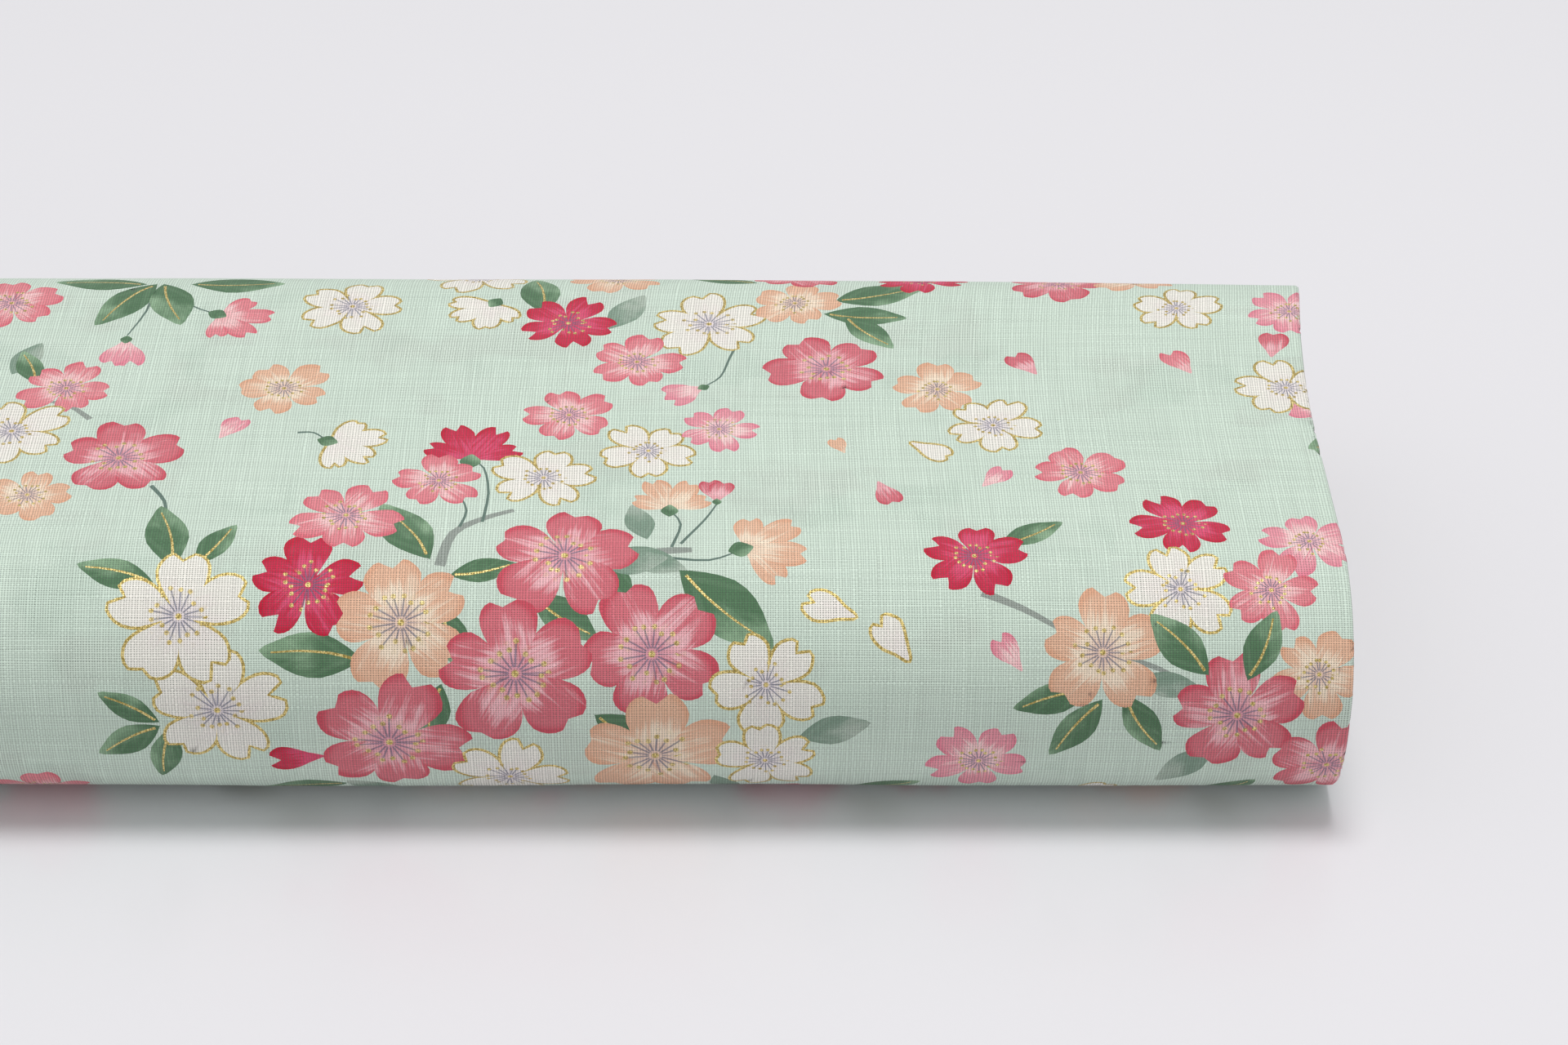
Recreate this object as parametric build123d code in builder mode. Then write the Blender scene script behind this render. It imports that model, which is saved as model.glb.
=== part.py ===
"""A flat bolt of doubled cotton cloth, wound on a wrapped corrugated board.

The bolt lies on its broad side. +X runs along the bolt to its folded end, +Y to the back and +Z up. The
origin is at the centre of the underside. Every section is drawn across the bolt, at the board's height.
"""

from build123d import *
import math
import os

os.makedirs("parts", exist_ok=True)

# Driving dimensions, in millimetres and degrees
BOLT_LENGTH = 554.0  # over the board's ticket at one end and the cloth's fold at the other
BOLT_DEPTH = 130.0
BOLT_HEIGHT = 48.0
BOARD_PROUD = 4.0  # board and ticket beyond the selvages
BOARD_SUNK = 2.0  # board's end inside the cloth's fold
BOARD_DEPTH = 94.0  # over the paper wrap
PAPER = 0.4  # liners and flutes
WRAP_PAPER = 0.3
WRAP_LAP = 20.0  # where the wrap's edges are glued together, under the board
GLUE = 0.03
FLUTE_WAVES = 10
TICKET_DEPTH = 72.0
TICKET_PAPER = 0.3
CLEARANCE = 0.3  # between pieces that move apart
PLY_GAP = 0.05  # between turns that stay together
OUTER_TURN = 0.75  # the last doubled turn, with the air under it
FREE_PLIES = 0.5  # the doubled cloth of the free end
FREE_ARC = 150.0  # how far the free end reaches round the back, from its topmost line
FREE_STRIPS = 4

# Worked out from them
LEFT = -BOLT_LENGTH / 2
RIGHT = BOLT_LENGTH / 2
CLOTH_LEFT = LEFT + BOARD_PROUD
BOARD_LEFT = LEFT + TICKET_PAPER
BOARD_RIGHT = RIGHT - BOARD_SUNK
ROUND = BOLT_HEIGHT / 2  # radius of the front and back roundings
ROUND_Y = BOLT_DEPTH / 2 - ROUND  # their centre line
LINER_DEPTH = BOARD_DEPTH - 2 * WRAP_PAPER - 2 * GLUE
HALF_WAVE = (LINER_DEPTH - PAPER) / (2 * FLUTE_WAVES)
FLUTE_HEIGHT = HALF_WAVE + PAPER
BOARD_HEIGHT = 3 * PAPER + 2 * FLUTE_HEIGHT + 4 * GLUE
WRAP_HEIGHT = BOARD_HEIGHT + 2 * WRAP_PAPER + 2 * GLUE
LAP_DROP = WRAP_PAPER + GLUE
CAVITY_DEPTH = BOARD_DEPTH + 2 * CLEARANCE
CAVITY_HEIGHT = WRAP_HEIGHT + 2 * LAP_DROP + 2 * CLEARANCE
STRIP_ARC = FREE_ARC / FREE_STRIPS


def section_at(x):
    """The plane across the bolt at x, with its own origin on the board's centre line."""
    return Plane(origin=(x, 0, BOLT_HEIGHT / 2), x_dir=(0, 1, 0), z_dir=(1, 0, 0))


def write(part, name):
    """Labels a finished piece and writes it."""
    part.label = name
    export_step(part, f"parts/{name}.step")


def winding_depth(inset):
    """Depth of the bolt's section, that far inside its outline."""
    return BOLT_DEPTH - 2 * inset


def winding_height(inset):
    """Height of the bolt's section, that far inside its outline."""
    return BOLT_HEIGHT - 2 * inset


def round_strip(from_angle, to_angle, inset, thickness):
    """Closed outline of a curved strip in the back rounding, between two angles above the horizontal."""
    outer = ROUND - inset
    inner = outer - thickness
    centre = (ROUND_Y, 0)
    sweep_angle = to_angle - from_angle
    with BuildLine() as outline:
        top = CenterArc(centre, outer, from_angle, sweep_angle)
        low = CenterArc(centre, inner, from_angle, sweep_angle)
        Line(top @ 0, low @ 0)
        Line(top @ 1, low @ 1)
    return outline.line


# --- the board: three flat papers with a fluted paper between each pair ---


def flat_paper(name, height):
    """One liner, centred at that height above the board's centre line."""
    with BuildPart() as paper:
        with BuildSketch(section_at(BOARD_LEFT)):
            with Locations((0, height)):
                Rectangle(LINER_DEPTH, PAPER)
        extrude(amount=BOARD_RIGHT - BOARD_LEFT)
    write(paper.part, name)


def fluted_paper(name, height):
    """One medium: half rings in turn above and below its middle, so that it waves across the board."""
    first = -LINER_DEPTH / 2 + PAPER / 2 + HALF_WAVE / 2
    middle = HALF_WAVE / 2
    wide = middle + PAPER / 2
    narrow = middle - PAPER / 2
    with BuildPart() as paper:
        with BuildSketch(section_at(BOARD_LEFT)):
            with BuildLine():
                for i in range(2 * FLUTE_WAVES):
                    centre = (first + i * HALF_WAVE, height)
                    crest = i % 2 == 0
                    sweep_angle = -180 if crest else 180
                    upper = CenterArc(centre, wide if crest else narrow, 180, sweep_angle)
                    lower = CenterArc(centre, narrow if crest else wide, 180, sweep_angle)
                    if i == 0:
                        Line(upper @ 0, lower @ 0)
                Line(upper @ 1, lower @ 1)
            make_face()
        extrude(amount=BOARD_RIGHT - BOARD_LEFT)
    write(paper.part, name)


liner_step = FLUTE_HEIGHT + PAPER + 2 * GLUE
flat_paper("core_liner_top", liner_step)
flat_paper("core_liner_middle", 0)
flat_paper("core_liner_bottom", -liner_step)
fluted_paper("core_flute_upper", liner_step / 2)
fluted_paper("core_flute_lower", -liner_step / 2)

# Paper wrap round the board, lapped and glued under it
with BuildPart() as core_wrap:
    with BuildSketch(section_at(BOARD_LEFT)):
        RectangleRounded(BOARD_DEPTH, WRAP_HEIGHT, WRAP_PAPER)
        Rectangle(BOARD_DEPTH - 2 * WRAP_PAPER, WRAP_HEIGHT - 2 * WRAP_PAPER, mode=Mode.SUBTRACT)
    extrude(amount=BOARD_RIGHT - BOARD_LEFT)
write(core_wrap.part, "core_wrap")

# The wrap's loose edge, lapped over its first edge
with BuildPart() as core_wrap_lap:
    with BuildSketch(section_at(BOARD_LEFT)):
        with Locations((0, -WRAP_HEIGHT / 2 - GLUE - WRAP_PAPER / 2)):
            Rectangle(WRAP_LAP, WRAP_PAPER)
    extrude(amount=BOARD_RIGHT - BOARD_LEFT)
write(core_wrap_lap.part, "core_wrap_lap")

# Plain paper ticket, pasted across the board's end at the selvages
with BuildPart() as end_ticket:
    with BuildSketch(section_at(LEFT)):
        RectangleRounded(TICKET_DEPTH, BOARD_HEIGHT, 1.5)
    extrude(amount=TICKET_PAPER)
write(end_ticket.part, "end_ticket")

# --- the cloth: inner turns, the last whole turn, and the free end ---

with BuildPart() as cloth_inner_turns:
    with BuildSketch(section_at(CLOTH_LEFT)):
        inset = OUTER_TURN + PLY_GAP
        SlotOverall(winding_depth(inset), winding_height(inset))
        RectangleRounded(CAVITY_DEPTH, CAVITY_HEIGHT, 2 * WRAP_PAPER, mode=Mode.SUBTRACT)
    extrude(amount=RIGHT - CLOTH_LEFT)
write(cloth_inner_turns.part, "cloth_inner_turns")

# The last turn comes out from under the free end, then passes under the bolt, up the front and over the top
free_end_gap = math.degrees(CLEARANCE / ROUND)
with BuildPart() as cloth_outer_turn:
    with BuildSketch(section_at(CLOTH_LEFT)):
        SlotOverall(BOLT_DEPTH, BOLT_HEIGHT)
        SlotOverall(winding_depth(OUTER_TURN), winding_height(OUTER_TURN), mode=Mode.SUBTRACT)
        with BuildLine():
            reach = 2 * ROUND
            covered = FREE_ARC + free_end_gap
            far_top = (ROUND_Y + reach, reach)
            end_angle = math.radians(90 - covered)
            far_end = (ROUND_Y + reach * math.cos(end_angle), reach * math.sin(end_angle))
            Polyline((ROUND_Y, 0), (ROUND_Y, reach), far_top, (ROUND_Y + reach, -ROUND), far_end, close=True)
        make_face(mode=Mode.SUBTRACT)
    extrude(amount=RIGHT - CLOTH_LEFT)
write(cloth_outer_turn.part, "cloth_outer_turn")

# The free end hangs round the back in strips, each hinged to the one before along the cloth's outer face
for strip in range(FREE_STRIPS):
    starts = 90 - strip * STRIP_ARC - free_end_gap
    ends = 90 - (strip + 1) * STRIP_ARC
    with BuildPart() as free_end:
        with BuildSketch(section_at(CLOTH_LEFT)):
            with BuildLine():
                add(round_strip(starts, ends, 0, FREE_PLIES))
            make_face()
        extrude(amount=RIGHT - CLOTH_LEFT)
    write(free_end.part, f"cloth_free_end_{strip + 1}")
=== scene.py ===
"""A flat bolt of doubled printed cotton, lying on a white table: cloth, board, wrap and ticket."""

import math
import random

import bpy
import numpy as np
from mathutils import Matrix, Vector, noise
from mathutils.geometry import delaunay_2d_cdt


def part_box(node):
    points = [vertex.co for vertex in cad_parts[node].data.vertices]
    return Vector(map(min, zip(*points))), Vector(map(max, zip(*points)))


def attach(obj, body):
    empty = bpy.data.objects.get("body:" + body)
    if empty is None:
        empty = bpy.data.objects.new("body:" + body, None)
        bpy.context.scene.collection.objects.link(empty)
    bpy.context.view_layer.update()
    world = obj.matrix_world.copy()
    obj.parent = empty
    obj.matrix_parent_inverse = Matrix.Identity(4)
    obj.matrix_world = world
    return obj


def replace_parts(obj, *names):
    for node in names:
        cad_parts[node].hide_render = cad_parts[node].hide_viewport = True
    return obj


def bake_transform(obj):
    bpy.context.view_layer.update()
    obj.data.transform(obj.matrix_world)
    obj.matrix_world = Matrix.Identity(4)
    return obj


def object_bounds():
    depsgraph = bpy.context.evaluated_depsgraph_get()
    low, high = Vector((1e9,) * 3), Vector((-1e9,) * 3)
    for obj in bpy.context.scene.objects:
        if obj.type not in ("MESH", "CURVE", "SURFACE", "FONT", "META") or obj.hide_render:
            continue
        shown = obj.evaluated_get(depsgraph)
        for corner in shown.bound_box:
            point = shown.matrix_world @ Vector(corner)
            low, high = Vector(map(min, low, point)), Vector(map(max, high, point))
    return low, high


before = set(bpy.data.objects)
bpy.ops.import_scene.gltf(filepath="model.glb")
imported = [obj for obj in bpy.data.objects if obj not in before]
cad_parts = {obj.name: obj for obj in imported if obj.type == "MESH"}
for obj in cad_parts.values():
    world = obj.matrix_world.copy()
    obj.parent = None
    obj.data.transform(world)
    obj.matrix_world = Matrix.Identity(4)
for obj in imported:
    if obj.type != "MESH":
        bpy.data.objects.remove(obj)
cad_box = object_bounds()

MM = 0.001

# --- Sizes, in metres, from the frame ---
LOW, HIGH = cad_box
CLOTH_LOW, CLOTH_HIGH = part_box("cloth_outer_turn")
HEIGHT = HIGH.z
ROUND = HEIGHT / 2  # radius of the front and back roundings
MIDDLE = HEIGHT / 2  # height of the board's middle
FLAT = HIGH.y - ROUND  # the top is flat from -FLAT to FLAT
LEFT, RIGHT = CLOTH_LOW.x, CLOTH_HIGH.x
WIDTH = RIGHT - LEFT  # the doubled cloth, selvage to fold

# --- The cloth ---
PLY = 0.22 * MM
INNER_DOUBLED = 0.3 * MM  # the inner turns, from the outside of one ply to the outside of the other
OUTER_AIR_INSIDE = 0.10 * MM  # between the two plies of the last turn, whose thickness lies outside them
TURNS = 24
TURN_PITCH = 0.67 * MM
OUTER_AIR = 0.35 * MM  # how far inside the CAD's surface the last turn lies, before its thickness
OUTER_STEP = 0.75 * MM  # how far the cloth dips to pass under its own free end
FOLD_TUCK = 1.0 * MM  # how much further it dips at the fold, where the free end above it is thicker
INNER_START = 1.30 * MM  # depth at which the inner turns begin, clear of the last turn on top and in front
WARP, WEFT = 0.487, 0.417  # thread spacing along and round the bolt, in mm
BLUNT_FRONT = 2.6  # the front's lower quarter is fuller than a circle, which is 2
BLUNT_BOARD = 12.0  # the innermost turn follows the board's square edges
TABLE_GAP = 0.02 * MM  # least height of the cloth above the table, before its thickness

# --- How the wound cloth settles ---
CROWN_RISE, CROWN_REACH, CROWN_DROP = 2.3, 110.0, 1.6  # mm: the top rises away from the fold
CROWN_FROM = MIDDLE * 1.3  # height from which the top rises
DRAWN_FROM, DRAWN_OVER = 10 * MM, 64 * MM  # across the bolt, from just in front of its middle
DRAWN_OUT = 5.0 * MM  # how far the back corner of the fold end is drawn out
BROAD_RIPPLE = (0.32 * MM, 70 * MM, 34 * MM)  # height, and length along and round the bolt
FINE_RIPPLE = (0.07 * MM, 24 * MM, 13 * MM)
SELVAGE_FLAT = 5 * MM  # the ripples die out within this distance of the selvages
SELVAGE_REACH = 60 * MM  # the selvages' unevenness varies over this length, and dies out this far in
OUTER_SELVAGE, INNER_SELVAGE = 0.9 * MM, 1.3 * MM  # unevenness of the selvages

# --- The inner turns, and where the pieces meet ---
INNER_LOOP = 0.2 * MM  # radius of their fold
INNER_GATHER = 3 * MM  # over this distance the two plies come together
RECEDING = {0: 8.0, 1: 4.0, 2: 2.5, 3: 1.5}  # mm by which the outer ones stop short of the fold
RECEDING_DEEPER = 0.6  # mm for all the others
RECEDING_UNEVEN = 1.1  # mm more, times the size of the noise
FOLD_SPAN = 3.4 * MM  # closer columns of points begin this far from the fold
FOLD_COLUMNS = 36
HIDDEN_START = 6 * MM  # how far the last turn runs on under the top
BLEND_BACK = 13.0  # mm of the top that belong to the free end's first piece
FLECKS_END, FLECKS_GONE = 534.0, 538.0  # mm from the fold: the selvages carry no print


# ---------------------------------------------------------------- the wound shape


def quarter(t, reach, blunt, ahead, above):
    """A point on a quarter of the section: t from 0 on the flat side to 1 at mid height."""
    angle = t * math.pi / 2
    s, c = math.sin(angle), math.cos(angle)
    r = reach / (abs(s) ** blunt + abs(c) ** blunt) ** (1 / blunt)
    return ahead * (FLAT + r * s), MIDDLE + above * r * c


def section(q, inset=0.0, hardness=0.0):
    """Section point (y, z). q 0-1 crosses the top to the front, 1-3 are the front's two quarters,
    3-4 is the underside and 4-6 are the back's two quarters."""
    reach = ROUND - inset
    part, t = int(q) % 6, q - int(q)
    blunt = 2 + (BLUNT_BOARD - 2) * hardness
    low_front = BLUNT_FRONT + (BLUNT_BOARD - BLUNT_FRONT) * hardness
    if part == 0:
        return FLAT - 2 * FLAT * t, MIDDLE + reach
    if part == 1:
        return quarter(t, reach, blunt, -1, 1)
    if part == 2:
        return quarter(1 - t, reach, low_front, -1, -1)
    if part == 3:
        return 2 * FLAT * t - FLAT, MIDDLE - reach
    if part == 4:
        return quarter(t, reach, blunt, 1, -1)
    return quarter(1 - t, reach, blunt, 1, 1)


def lap_table(steps=900):
    """Distance round the outside against q, from where the top meets the back: (distances, qs)."""
    qs = np.linspace(0, 6, steps + 1)
    points = np.array([section(min(q, 5.999999)) for q in qs])
    ran = np.concatenate([[0], np.cumsum(np.linalg.norm(np.diff(points, axis=0), axis=1))])
    return ran, qs


LAP, LAP_Q = lap_table()
TOP_FRONT = 2 * FLAT  # distance to where the top meets the front rounding
LAP_LENGTH = float(LAP[-1])
FRONT_END = float(np.interp(3, LAP_Q, LAP))
UNDER_END = float(np.interp(4, LAP_Q, LAP))
FREE_ARC = math.radians(150)
FREE_LENGTH = FREE_ARC * ROUND
HIDDEN = LAP_LENGTH + HIDDEN_START  # distance to the last turn's hidden start


def smooth(x, low, high):
    t = min(max((x - low) / (high - low), 0.0), 1.0)
    return t * t * (3 - 2 * t)


def settle(x, y, z):
    """The wound cloth isn't a perfect block: thinner towards its fold, and drawn out at that end's back."""
    from_fold = (RIGHT - x) / MM
    crown = (CROWN_RISE * (1 - math.exp(-max(from_fold, 0) / CROWN_REACH)) - CROWN_DROP) * MM
    z += crown * min(max((z - CROWN_FROM) / (HEIGHT - CROWN_FROM), 0), 1)
    drawn = min(max((y + DRAWN_FROM) / DRAWN_OVER, 0), 1) ** 2
    x += DRAWN_OUT * drawn * smooth(x, 0, RIGHT)
    return x, y, z


def covered(ran):
    """0 where the last turn is outermost, 1 where it lies under its own free end."""
    return smooth(ran, UNDER_END - 12 * MM, UNDER_END + 6 * MM)


def outer_face(ran, depth):
    """Section point of the last turn: ran from the hinge line towards the front, depth inwards.
    A negative ran is on the free end."""
    if ran < 0:
        angle = -ran / ROUND
        y, z = FLAT + (ROUND - depth) * math.sin(angle), MIDDLE + (ROUND - depth) * math.cos(angle)
    else:
        step = OUTER_STEP * covered(ran)
        q = float(np.interp(ran, LAP, LAP_Q))
        if ran >= LAP_LENGTH:
            q = 6 + (ran - LAP_LENGTH) / (2 * FLAT)
        y, z = section(q % 6, depth + step)
    return y, z


def fold_profile(across, loop, gather, end, apart):
    """(x, depth) of a doubled cloth folded at its right end. across runs from one selvage to the other."""
    turn = math.pi * loop
    straight = end - LEFT
    if across < straight:
        return LEFT + across, 0.0
    if across < straight + turn:
        angle = (across - straight) / loop
        return end + loop * math.sin(angle), loop * (1 - math.cos(angle))
    back = across - straight - turn
    x = end - back
    return x, apart + (2 * loop - apart) * (1 - smooth(back, 0, gather))


OUTER_LOOP = 0.6 * MM
OUTER_GATHER = 9 * MM
OUTER_END = RIGHT - OUTER_LOOP
DOUBLE_WIDTH = 2 * (OUTER_END - LEFT) + math.pi * OUTER_LOOP


def ripple(x, ran):
    """Small soft unevenness of the cloth's face."""
    height, along, around = BROAD_RIPPLE
    broad = height * noise.noise(Vector((x / along, ran / around, 1.0)))
    height, along, around = FINE_RIPPLE
    return broad + height * noise.noise(Vector((x / along, ran / around, 8.0)))


def face_lift(x, ran):
    """The last turn's unevenness. Under the free end it is the free end's own, so that the two nest."""
    under = smooth(ran, FRONT_END, UNDER_END)
    lift = 0.0
    if under < 1:
        lift += (1 - under) * ripple(x, ran)
    if under > 0:
        lift += under * ripple(x, ran - LAP_LENGTH)
    return lift


def outer_point(across, ran):
    """Where a point of the last doubled turn lies: across between its selvages, ran round the bolt."""
    x, depth = fold_profile(across, OUTER_LOOP, OUTER_GATHER, OUTER_END, OUTER_AIR_INSIDE)
    lift = face_lift(x, ran) * smooth(x, LEFT, LEFT + SELVAGE_FLAT)
    tuck = FOLD_TUCK * covered(ran) * (1 - smooth(RIGHT - x, 0, OUTER_GATHER))
    y, z = outer_face(ran, depth + OUTER_AIR + tuck - lift)
    selvage = OUTER_SELVAGE * noise.noise(Vector((ran / SELVAGE_REACH, 3.0, 0.0)))
    x += selvage * (1 - smooth(x, LEFT, LEFT + SELVAGE_REACH))
    return settle(x, y, max(z, TABLE_GAP))


# ---------------------------------------------------------------- the print, in mm on the flat cloth
# Places are (mm from the fold, mm above the line where the top meets the front rounding).
# Where the photo shows the cloth they follow its print one by one: points read off the photo were
# turned into mm with the solved camera, then mostly rounded. So the layout is traced, not a generic one.

REPEAT_ALONG, REPEAT_UP, DROP = 266.0, 166.0, 83.0

ROSE = ((0.59, 0.080, 0.118), (0.85, 0.48, 0.52))
PINK = ((0.70, 0.15, 0.195), (0.88, 0.56, 0.57))
BLUSH = ((0.74, 0.22, 0.30), (0.89, 0.62, 0.62))
CRIMSON = ((0.52, 0.010, 0.042), (0.70, 0.085, 0.185))
PEACH = ((0.73, 0.40, 0.26), (0.87, 0.73, 0.58))
WHITE = ((0.82, 0.81, 0.75), (0.82, 0.775, 0.74))
LEAF = ((0.085, 0.18, 0.095), (0.27, 0.42, 0.27))
GREY_LEAF = ((0.21, 0.31, 0.24), (0.42, 0.50, 0.43))
STEM = ((0.13, 0.20, 0.17), (0.13, 0.20, 0.17))
BRANCH = ((0.30, 0.34, 0.31), (0.42, 0.46, 0.42))
GOLD = ((0.56, 0.40, 0.12), (0.56, 0.40, 0.12))

# (kind, from the fold, above the front edge, across, turned)
BLOOMS = (
    # the big spray
    ("crimson", 183.5, -12, 21, 20), ("pink", 178, 6, 20, 50), ("peach", 167, -19, 25, 5),
    ("crimson_side", 156.5, 24, 15, 95), ("pink", 162, 17, 16, 12), ("white", 143, 18, 18, 30),
    ("white", 124, 27, 17, 55), ("pink", 139, 39, 18, 0), ("blush", 111, 34.5, 15, 40),
    ("rose", 123, -24.5, 25, 64), ("rose", 138.5, -5.5, 26, 22), ("rose", 147, -28, 27, 8),
    ("rose", 169.5, -42, 27, 40), ("white", 148.5, -52, 20, 36), ("peach", 122.5, -45.5, 28, 18),
    ("white", 103, -30, 19, 60), ("white", 103, -47, 18, 10), ("peach_side", 120, 8.5, 12, 92),
    ("peach_side", 106.5, -3.5, 15, 165), ("bud", 111.5, 11, 6.5, 90),
    # the spray at the back
    ("white", 114, 72, 22, 10), ("pink", 127, 58, 18, 34), ("rose", 91, 56, 23, 60),
    ("crimson", 141, 72, 19, 45), ("peach", 133, 92, 18, 0), ("peach", 98, 80, 17, 28),
    ("white_side", 156, 79, 12, 300), ("pink_bud", 114.5, 49, 8, 331),
    # strays between the sprays
    ("peach", 70, 49, 17, 15), ("white", 60, 36.5, 18, 44), ("pink", 45, 21, 18, 70),
    ("white", 24, 79.5, 17, 20), ("blush", 2, 79, 17, 50), ("white", 4, 51, 18, 5),
    ("rose", 47.5, 91, 19, 33),
    # the spray at the fold
    ("crimson", 66, -5, 18, 25), ("crimson", 28, 5, 18, 60), ("blush", 6, 0, 17, 10),
    ("white", 30, -12, 19, 0), ("pink", 14, -12, 17, 35), ("peach", 6, -28, 17, 50),
    ("peach", 44, -24, 22, 20), ("rose", 20, -36, 24, 12), ("blush", 65, -47, 18, 52),
    ("rose", 3, -48, 20, 30),
    # the spray further from the fold
    ("rose", 221, 24, 23, 14), ("pink", 234, 48, 18, 40), ("white", 242, 33, 20, 70),
    ("peach", 236, 12, 16, 25),
    ("white", 199.5, -35, 23, 20), ("white", 206, -18, 24, 18), ("peach", 193, 48, 18, 66),
    ("white_side", 182.5, 29.5, 13, 195), ("pink_side", 208, 74.5, 13, 205),
    ("pink_bud", 225, 65, 9, 270),
    ("white", 183, 78, 20, 34), ("pink", 249, 79, 19, 8),
    # under the bolt's front edge
    ("pink", 233, -60, 20, 15), ("white", 160, -72, 20, 5), ("rose", 98, -68, 21, 30),
    ("crimson", 74, -73, 17, 55), ("peach", 33, -70, 19, 12), ("blush", 262, -38, 17, 60),
)
# (kind, where its pointed end is, length, direction its notch is in)
PETALS = (
    ("crimson", 182, -45.5, 9, 351), ("white", 88, -17.5, 8.2, 20), ("white", 78.4, -25, 8.4, 52),
    ("blush", 58.4, -27, 7.2, 55), ("white", 75, 30, 7.5, 215), ("peach", 88, 27, 5, 70),
    ("rose", 82, 17, 7, 250),
    ("blush", 62.9, 16.6, 7.2, 127), ("rose", 51.4, 55, 7.8, 57), ("pink", 22, 56, 8, 60),
    ("rose", 6, 62.5, 8.4, 95),
    ("blush", 203, 31, 7.5, 120), ("pink", 250, -8, 7, 310), ("white", 46, -62, 8, 130),
    ("blush", 139, -64, 6, 20),
)
# (kind, where its stalk is, length, direction it points in: 0 along the bolt away from the fold, 90 upwards)
LEAVES = (
    ("leaf", 162.4, -6.3, 18.5, 59), ("leaf", 158.5, -10, 12, 168), ("leaf", 144, -14, 14, 215),
    ("grey", 130, -4, 14, 200),
    ("leaf", 118, -9, 22, 222), ("leaf", 174, -25.5, 18, 5), ("leaf", 160, -30, 12, 285),
    ("leaf", 133, -36, 15, 215),
    ("grey", 97, -41, 13, 165), ("leaf", 178, -55, 16, 345), ("grey", 112, -52, 12, 250),
    ("grey", 124, -1, 11, 75),
    ("leaf", 130, -6, 13, 262), ("grey", 132, -8, 12, 170), ("leaf", 160, -16, 13, 250),
    ("leaf", 207.5, -8.5, 17.5, 77), ("leaf", 203.5, -8, 12.5, 120), ("leaf", 211, -11.5, 14, 15),
    ("leaf", 210, -37.5, 12, 30), ("leaf", 210, -38.5, 13, 330), ("leaf", 208, -39, 13, 282),
    ("leaf", 222, 87, 19, 301), ("leaf", 220.5, 87, 17, 252), ("leaf", 224, 87, 18, 5),
    ("leaf", 215, 87, 18, 178),
    ("grey", 245, 53, 12, 110), ("leaf", 240, 50, 12, 70), ("leaf", 61, -2, 13.5, 148),
    ("leaf", 46, -31, 14, 345),
    ("leaf", 44, -33, 15, 305), ("leaf", 40, -32, 14, 240), ("grey", 24, -43, 14, 310),
    ("grey", 38, -29, 12, 190),
    ("leaf", 92, 76, 16, 185), ("leaf", 88, 75, 15, 230), ("leaf", 90, 81, 18, 160),
    ("leaf", 146, 76, 16, 80),
    ("grey", 133, 70, 14, 115), ("leaf", 226, -56, 14, 330), ("leaf", 204, -68, 14, 160),
    ("leaf", 88, -62, 15, 150),
    ("leaf", 106, -76, 14, 20), ("leaf", 24, -64, 14, 130), ("grey", 168, -62, 13, 40),
    ("leaf", 256, -46, 14, 330),
)
LEAVES_ON_TOP = (("leaf", 25.5, -28, 15, 48), ("leaf", 18.5, -29, 14, 112))
# (kind, width, points along it)
STEMS = (
    ("branch", 2.0, ((160.5, -8), (158.5, 0.5), (153.5, 5), (148, 7.7))),
    ("stem", 0.6, ((153.5, 4), (152.8, 13), (154, 21), (156.5, 23.5))),
    ("stem", 0.6, ((157.5, 2.5), (156.5, 7.5), (158, 12.5))),
    ("stem", 0.6, ((119.6, -3.3), (118, 3.5), (120, 8))),
    ("stem", 0.6, ((118, -2.4), (113.8, 4.8), (111.5, 10))),
    ("stem", 0.6, ((120, -6), (113, -6.5), (108, -4.4))),
    ("branch", 2.4, ((130, -7), (122, -4.5), (116, -4))),
    ("branch", 1.6, ((65, -13), (58, -16), (51, -20))),
    ("branch", 1.2, ((40, -25), (34, -27), (29, -30))), ("stem", 0.7, ((12, -42), (9, -46), (5, -46))),
    ("stem", 0.6, ((108, 66), (109.5, 59.5), (111, 53), (114, 49.5))),
    ("branch", 1.3, ((228, 37), (233, 42), (240, 44))),
    ("stem", 0.9, ((214, 15), (211, 10), (210, 4))), ("stem", 0.6, ((222, 84), (222.5, 76), (225, 67))),
    ("stem", 0.6, ((218, 84), (214, 78), (209, 75))),
    ("stem", 0.6, ((189, 32.5), (186, 32.5), (183.5, 30))),
)
KINDS = {"rose": ROSE, "pink": PINK, "blush": BLUSH, "crimson": CRIMSON, "peach": PEACH, "white": WHITE}
FULLNESS = {"rose": 1.02, "pink": 0.98, "blush": 0.94, "crimson": 0.96, "peach": 1.0, "white": 0.90}
GOLD_EDGE = 0.58  # mm of gold outside a white petal
NOTCH = {"rose": 0.11, "pink": 0.13, "blush": 0.16, "crimson": 0.19, "peach": 0.12, "white": 0.17}


def catmull_rom(a, b, c, d, t):
    """Point between b and c on the curve through a, b, c and d."""
    return 0.5 * (2 * b + (c - a) * t + (2 * a - 5 * b + 4 * c - d) * t**2 + (3 * b - a - 3 * c + d) * t**3)


def round_out(points, parts=2):
    """Closed Catmull-Rom curve through the points."""
    out, n = [], len(points)
    for i in range(n):
        a, b, c, d = (np.array(points[(i + k) % n], float) for k in (-1, 0, 1, 2))
        for step in range(parts):
            t = step / parts
            out.append(catmull_rom(a, b, c, d, t))
    return np.array(out)


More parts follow.
